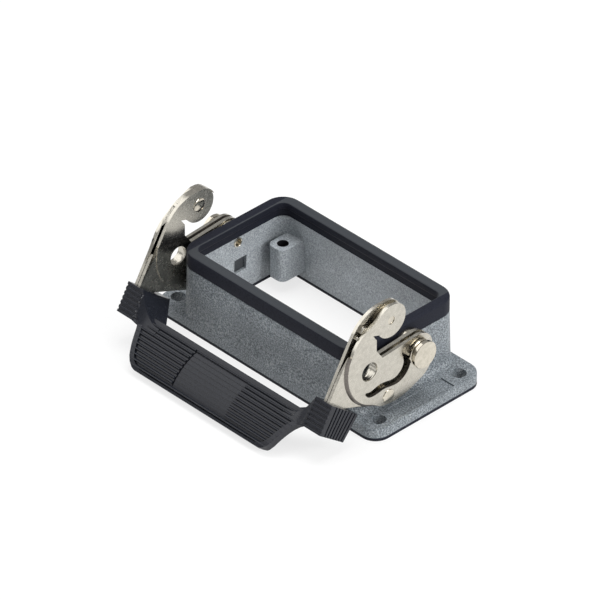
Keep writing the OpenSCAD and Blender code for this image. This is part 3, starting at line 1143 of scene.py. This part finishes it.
# %% Outline of the slot
slot = [(-2.9, 3.4), (-2.7, 1.0), (-2.7, -0.8), (-3.0, -2.7), (-4.0, -4.9)]
slot += [(-5.9, -6.6), (-8.3, -7.3), (-10.9, -7.0), (-13.2, -6.5), (-15.6, -6.9)]
slot += [(-18.0, -7.1), (-19.9, -6.5), (-21.0, -5.0), (-20.6, -4.5), (-19.2, -5.0)]
slot += [(-17.4, -4.6), (-15.6, -4.1), (-13.3, -4.2), (-10.8, -4.8), (-8.6, -4.7)]
slot += [(-6.6, -3.2), (-5.7, -1.2), (-5.9, 0.6), (-6.5, 1.9), (-6.4, 3.3)]
slot += [(-5.6, 4.0), (-4.2, 4.0)]


def soften(points, rounds=2):
    for _ in range(rounds):
        pairs = list(zip(points, points[1:] + points[:1]))
        points = [
            (a[0] * (1 - t) + b[0] * t, a[1] * (1 - t) + b[1] * t)
            for a, b in pairs
            for t in (0.25, 0.75)
        ]
    return points


slot_line = soften(slot)
print("slot", len(slot_line), "points")

# %% Slot, holes and soft edges of the outer sheets
cut(outer, draw_plate("slot", upright(slot_line, 39.3), (2.5, 0, 0)))
cut_cheek_holes(outer)
round_edges(outer, 0.14, 2, 50)
outer_ends = both_ends(
    outer, "cheek_outer_sheet", "outer_cheek", "lever", sheet_metal
)
CRESCENT_X, CRESCENT_THICK = -41, 0.98
join(outer_ends[1], crescent_plate(CRESCENT_X, CRESCENT_THICK))
smooth(outer_ends[1], 35)

# %% [markdown]
# The walls of the slot, the step, and the face of the crescent that looks into
# the gap are painted darker, as painted shade for the shade that falls in the
# slot, along the step and in the gap.


# %% Painted shade on the outer sheets
def in_slot(centre, normal):
    y, z = centre.y, centre.z - PIVOT
    near = min(math.hypot(y - a, z - b) for a, b in slot_line)
    return near < 0.35 and abs(normal.x) < 0.45


def in_crescent_gap(centre, normal):
    return abs(centre.x - CRESCENT_X - CRESCENT_THICK) < 0.01


def on_step(centre, normal):
    away = math.hypot(centre.y - STEP_C[0], centre.z - PIVOT - STEP_C[1])
    on_curve = STEP_R - 0.1 < away < STEP_R + STEP_W + 0.1 and centre.y < -15
    outside = abs(centre.x) > PAD_X - STEP_DROP - 0.1
    return on_curve and outside and 0.2 < abs(normal.x) < 0.99


# Painted shade: the walls of the slot get a dark finish.
for sheet in outer_ends:
    paint_faces(sheet, slot_shade, in_slot)
# Painted shade: the crescent's face in the gap, and the step, get a darker finish.
paint_faces(outer_ends[1], painted_step_shade, in_crescent_gap)
for sheet in outer_ends:
    paint_faces(sheet, painted_step_shade, on_step)

# %% [markdown]
# Two small lugs keep the sheets apart at the back of the hook. Each is a short
# bar with soft edges that bridges the gap and lies along the sheet's back. A
# ring round the window closes the gap there.

# %% Spacing lugs and window rims
rim_ring = turned(
    "rim_ring",
    [(38.9, 3.0), (38.9, 3.3), (40.1, 3.3), (40.1, 3.0), (38.9, 3.0)],
    WINDOW,
)
both_ends(rim_ring, "window_rim", None, "lever", sheet_metal)
LUGS = [(-20.3, 16.4, 2.0, 2.4), (-22.4, 14.6, 1.0, 1.8)]  # y, z, length, height
back_turn = math.atan2(BACK_RISE, BACK_RUN)
for number, (y, z, long, high) in enumerate(LUGS):
    lug = block((38.8, y - long / 2, -high / 2), (40.1, y + long / 2, high / 2))
    start_edit(lug)
    bpy.ops.mesh.select_all(action="SELECT")
    bpy.ops.transform.rotate(
        value=-back_turn, orient_axis="X", center_override=lug.location
    )
    bpy.ops.transform.translate(value=(0, 0, (PIVOT + z) * MM))
    end_edit()
    round_edges(lug, 0.2, 2, 40)
    lug.name = f"right_lug_{number}"
    smooth(lug, 35)
    twin = mirrored(lug, f"left_lug_{number}")
    smooth(twin, 35)
    settle(lug, "lever", sheet_metal, None)
    settle(twin, "lever", sheet_metal, None)

# %% [markdown]
# ## Handle
# The handle is one moulding: a curved grip with fine ribs, two solid end
# blocks that hold the sheet tails, and necks between them. All ribs run along
# X, so they are part of the section that is drawn once and pulled out to the
# full length. Each point of the section is an angle round the arch's centre and
# a depth under its outer face.

# %% Section of the ribbed arch
ARCH, ARCH_R, ARCH_HALF = (-32.4, -25.6), 17.8, 35.7
GRIP_THICK = 2.4
RIB_DEEP, RIB_STEP, RIBS, FIRST_RIB = 0.62, 4.78, 10, 105.3


def on_arch(angle, radius):
    a = math.radians(angle)
    return (ARCH[0] + radius * math.cos(a), ARCH[1] + radius * math.sin(a))


TOP_STRIP = [(97.8, 1.0), (98.3, 0.45), (99.4, 0.2), (101.6, 0.3), (102.6, 0.5)]
LOWER_LIP = [(150.4, RIB_DEEP), (151.3, RIB_DEEP + 0.15), (151.7, 0.2)]
LOWER_LIP += [(152.3, 0.05), (152.9, 0.1), (153.5, 0.6)]
RIB = [(-1.5, RIB_DEEP), (-1.2, 0.3), (-0.55, 0.04), (0, 0), (0.45, 0.04)]
RIB += [(1.0, 0.22), (1.45, RIB_DEEP)]
section = list(TOP_STRIP)
for number in range(RIBS):
    middle = FIRST_RIB + RIB_STEP * number
    section += [(middle + turn, deep) for turn, deep in RIB]
section += LOWER_LIP
outer_side = [on_arch(angle, ARCH_R - depth) for angle, depth in section]
inner_side = arc(ARCH, ARCH_R - GRIP_THICK, 153.2, 98.2, 24)
grip_section = upright(outer_side + inner_side, -ARCH_HALF)
grip = draw_plate("handle_grip", grip_section, (2 * ARCH_HALF, 0, 0))
print("grip section", len(grip_section), "points")

# %% [markdown]
# The blank field in the middle is sunk nearly to the ribs' foot, and a thin
# groove runs down its left side.


# %% Blank field
def arch_band(first, last, low, high, steps):
    """Outline between two angles and between two depths under the outer face."""
    band = arc(ARCH, ARCH_R - low, first, last, steps)
    return band + arc(ARCH, ARCH_R - high, last, first, steps)


FIELD_X, FIELD_LONG, FIELD_DEEP = -11, 21.4, 0.5
LINE_X, LINE_WIDE, LINE_DEEP = -11.35, 0.45, 1.1
field = arch_band(106, 146.2, FIELD_DEEP, -1, 18)
cut(grip, draw_plate("field", upright(field, FIELD_X), (FIELD_LONG, 0, 0)))
line = arch_band(104, 146.2, LINE_DEEP, -1, 18)
cut(grip, draw_plate("field_line", upright(line, LINE_X), (LINE_WIDE, 0, 0)))
print("grip with field", len(grip.data.polygons), "faces")

# %% [markdown]
# Seen square on, the grip is a long shield: rounded lower corners, sides that
# lean outward, and a concave sweep into the necks. Two such outlines are
# needed. The outer one trims the arch. Between it and the inner one the ribs
# stop, and a smooth border takes their place.

# %% Outlines of the grip, seen square on
slope = math.radians(35.65)
along = Vector((0, math.cos(slope), math.sin(slope)))
outward = Vector((0, -math.sin(slope), math.cos(slope)))
BASE = Vector((0, ARCH[0], PIVOT + ARCH[1]))
SIDE = [(36.5, 5.6), (35.4, 5.2), (34.2, 4.45), (33.1, 3.3), (32.3, 1.9), (31.6, 0.3)]
SIDE += [(30.8, -1.7), (30.0, -3.6), (29.3, -5.2), (28.3, -6.6), (26.9, -7.7)]
SIDE += [(25.2, -8.25), (23, -8.4)]
RIB_SIDE = [(36.5, 7.3), (34.6, 6.75), (32.9, 5.6), (31.6, 4.0), (30.6, 2.1)]
RIB_SIDE += [(29.6, -0.3), (28.8, -2.3), (28.0, -4.2), (26.9, -5.8), (25.4, -6.8)]
RIB_SIDE += [(23.6, -7.25)]


def square_on(name, side, lowest):
    """A thick plate with the outline, drawn for x > 0 and mirrored to x < 0."""
    top = [(36.5, 10.5)] + side
    if lowest:
        top = top + [(20, lowest)]
    whole = top + [(-x, y) for x, y in reversed(top)]
    loop = [BASE + Vector((x, 0, 0)) + along * y for x, y in whole]
    return draw_plate(name, loop, outward * 40)


# %% Border and trim
band = upright(arch_band(99.5, 152.6, 0.04, 1.4, 26), -ARCH_HALF)
border = draw_plate("border", band, (2 * ARCH_HALF, 0, 0))
cut(border, square_on("rib_area", RIB_SIDE, -7.35))
join(grip, border)
keep_inside(grip, square_on("trim", SIDE, None))
round_edges(grip, 0.12, 2, 40)
smooth(grip, 40)
settle(grip, "lever", plastic, ["lever_handle"])

# %% [markdown]
# The end blocks are drawn from the side, with small notches along the face
# that the thumb meets, and pulled to their width. Fine grooves are then cut
# across the outer end.

# %% Outline of an end block
BLOCK = [Vector(q) for q in ((-34.9, -1.1), (-39.7, -9.2), (-30.5, -16.2), (-24.6, -9.4))]
face_dir = (BLOCK[1] - BLOCK[0]).normalized()
face_in = Vector((-face_dir.y, face_dir.x))
NOTCHES, NOTCH_START, NOTCH_STEP, NOTCH_DEEP = 6, 0.9, 1.45, 0.35
NOTCH = ((0, 0), (0.12, NOTCH_DEEP), (0.5, NOTCH_DEEP), (0.62, 0))


def front_face(start, reach):
    """Points of the notched face from the distance start to the distance reach."""
    points = [BLOCK[0] + face_dir * start]
    for number in range(NOTCHES):
        for place, deep in NOTCH:
            spot = NOTCH_START + NOTCH_STEP * number + place
            if start < spot < reach:
                points.append(BLOCK[0] + face_dir * spot + face_in * deep)
    return points


notched = [tuple(q) for q in front_face(0, 9) + BLOCK[1:]]
print("end block", len(notched), "points")

# %% End blocks
GROOVES, GROOVE_HALF = 7, 0.24
BLOCK_X, BLOCK_LONG = 35.6, 6.4
GROOVE_X = BLOCK_X + BLOCK_LONG - 0.4

end_block = draw_plate("handle_end", upright(notched, BLOCK_X), (BLOCK_LONG, 0, 0))
for number in range(GROOVES):
    share = 0.2 + 0.115 * number
    top = BLOCK[0].lerp(BLOCK[3], share)
    bottom = BLOCK[1].lerp(BLOCK[2], share)
    run = (bottom - top).normalized()
    side = Vector((-run.y, run.x)) * GROOVE_HALF
    t0, t1 = top - run * 2, bottom + run * 2
    groove = [tuple(q) for q in (t0 - side, t1 - side, t1 + side, t0 + side)]
    cut(end_block, draw_plate("groove", upright(groove, GROOVE_X), (1, 0, 0)))
round_edges(end_block, 0.1, 2, 40)
smooth(end_block, 40)
print("end block", len(end_block.data.polygons), "faces")

# %% [markdown]
# A neck sweeps from the inner face of the block down to the top edge of the
# grip. It is a loft: the same four corners are drawn again and again on the
# way along X, each time a little closer to the grip, and the slices are
# bridged. The front corner drops fast and then levels out, which gives the
# concave sweep.

# %% Slices of a neck
NECK_X0, NECK_X1, SLICES = 35.7, 26.4, 12
NECK_END = [on_arch(107, ARCH_R - 0.3), on_arch(116, ARCH_R - 0.5)]
NECK_END += [on_arch(116, ARCH_R - 2.2), on_arch(99, ARCH_R - 2.0)]


def slice_x(number):
    return NECK_X0 + (NECK_X1 - NECK_X0) * number / SLICES


def neck_slice(t):
    fast = 1 - (1 - t) ** 2.5
    shares = (fast, fast, t, t)
    return [tuple(a.lerp(Vector(b), s)) for a, b, s in zip(BLOCK, NECK_END, shares)]


slices = []
for number in range(SLICES + 1):
    corners = upright(neck_slice(number / SLICES), slice_x(number))
    slices.append(draw_chain(f"slice_{number}", corners))
    end_edit()
neck = slices[0]
add_pieces(neck, slices[1:])
neck.name = "handle_neck"
print("neck", len(neck.data.vertices), "points in", SLICES + 1, "slices")

# %% Bridge the slices
for number in range(SLICES):
    planes = (slice_x(number), slice_x(number + 1))
    start_edit(neck, "EDGE")
    mesh = bmesh.from_edit_mesh(neck.data)
    for line in mesh.edges:
        x0, x1 = [v.co.x / MM for v in line.verts]
        near = min(abs(x0 - plane) for plane in planes)
        line.select_set(abs(x0 - x1) < CLOSE and near < CLOSE)
    bmesh.update_edit_mesh(neck.data)
    bpy.ops.mesh.bridge_edge_loops()
    end_edit()
start_edit(neck, "EDGE")
bpy.ops.mesh.select_all(action="SELECT")
bpy.ops.mesh.region_to_loop()
bpy.ops.mesh.edge_face_add()
end_edit()
face_out(neck)
print("neck", len(neck.data.polygons), "faces")

# %% [markdown]
# The notches of the block run on into the thick end of the neck as short pits.
# Then both pieces are mirrored to the left end.

# %% Pits, and both ends in place
PIT_X, PIT_LONG, PIT_DEEP, PIT_HALF = 29, 8, 0.3, 0.2

for number in range(NOTCHES):
    spot = BLOCK[0] + face_dir * (NOTCH_START + NOTCH_STEP * number + 0.3)
    low, high = spot - face_dir * PIT_HALF, spot + face_dir * PIT_HALF
    foot_low, foot_high = low + face_in * PIT_DEEP, high + face_in * PIT_DEEP
    pit = [tuple(q) for q in (low - face_in, high - face_in, foot_high, foot_low)]
    cut(neck, draw_plate("pit", upright(pit, PIT_X), (PIT_LONG, 0, 0)))
round_edges(neck, 0.15, 2, 50)
smooth(neck, 40)
for piece in (end_block, neck):
    twin = mirrored(piece, "left_" + piece.name)
    smooth(twin, 40)
    for each in (piece, twin):
        settle(each, "lever", plastic, ["lever_handle"])
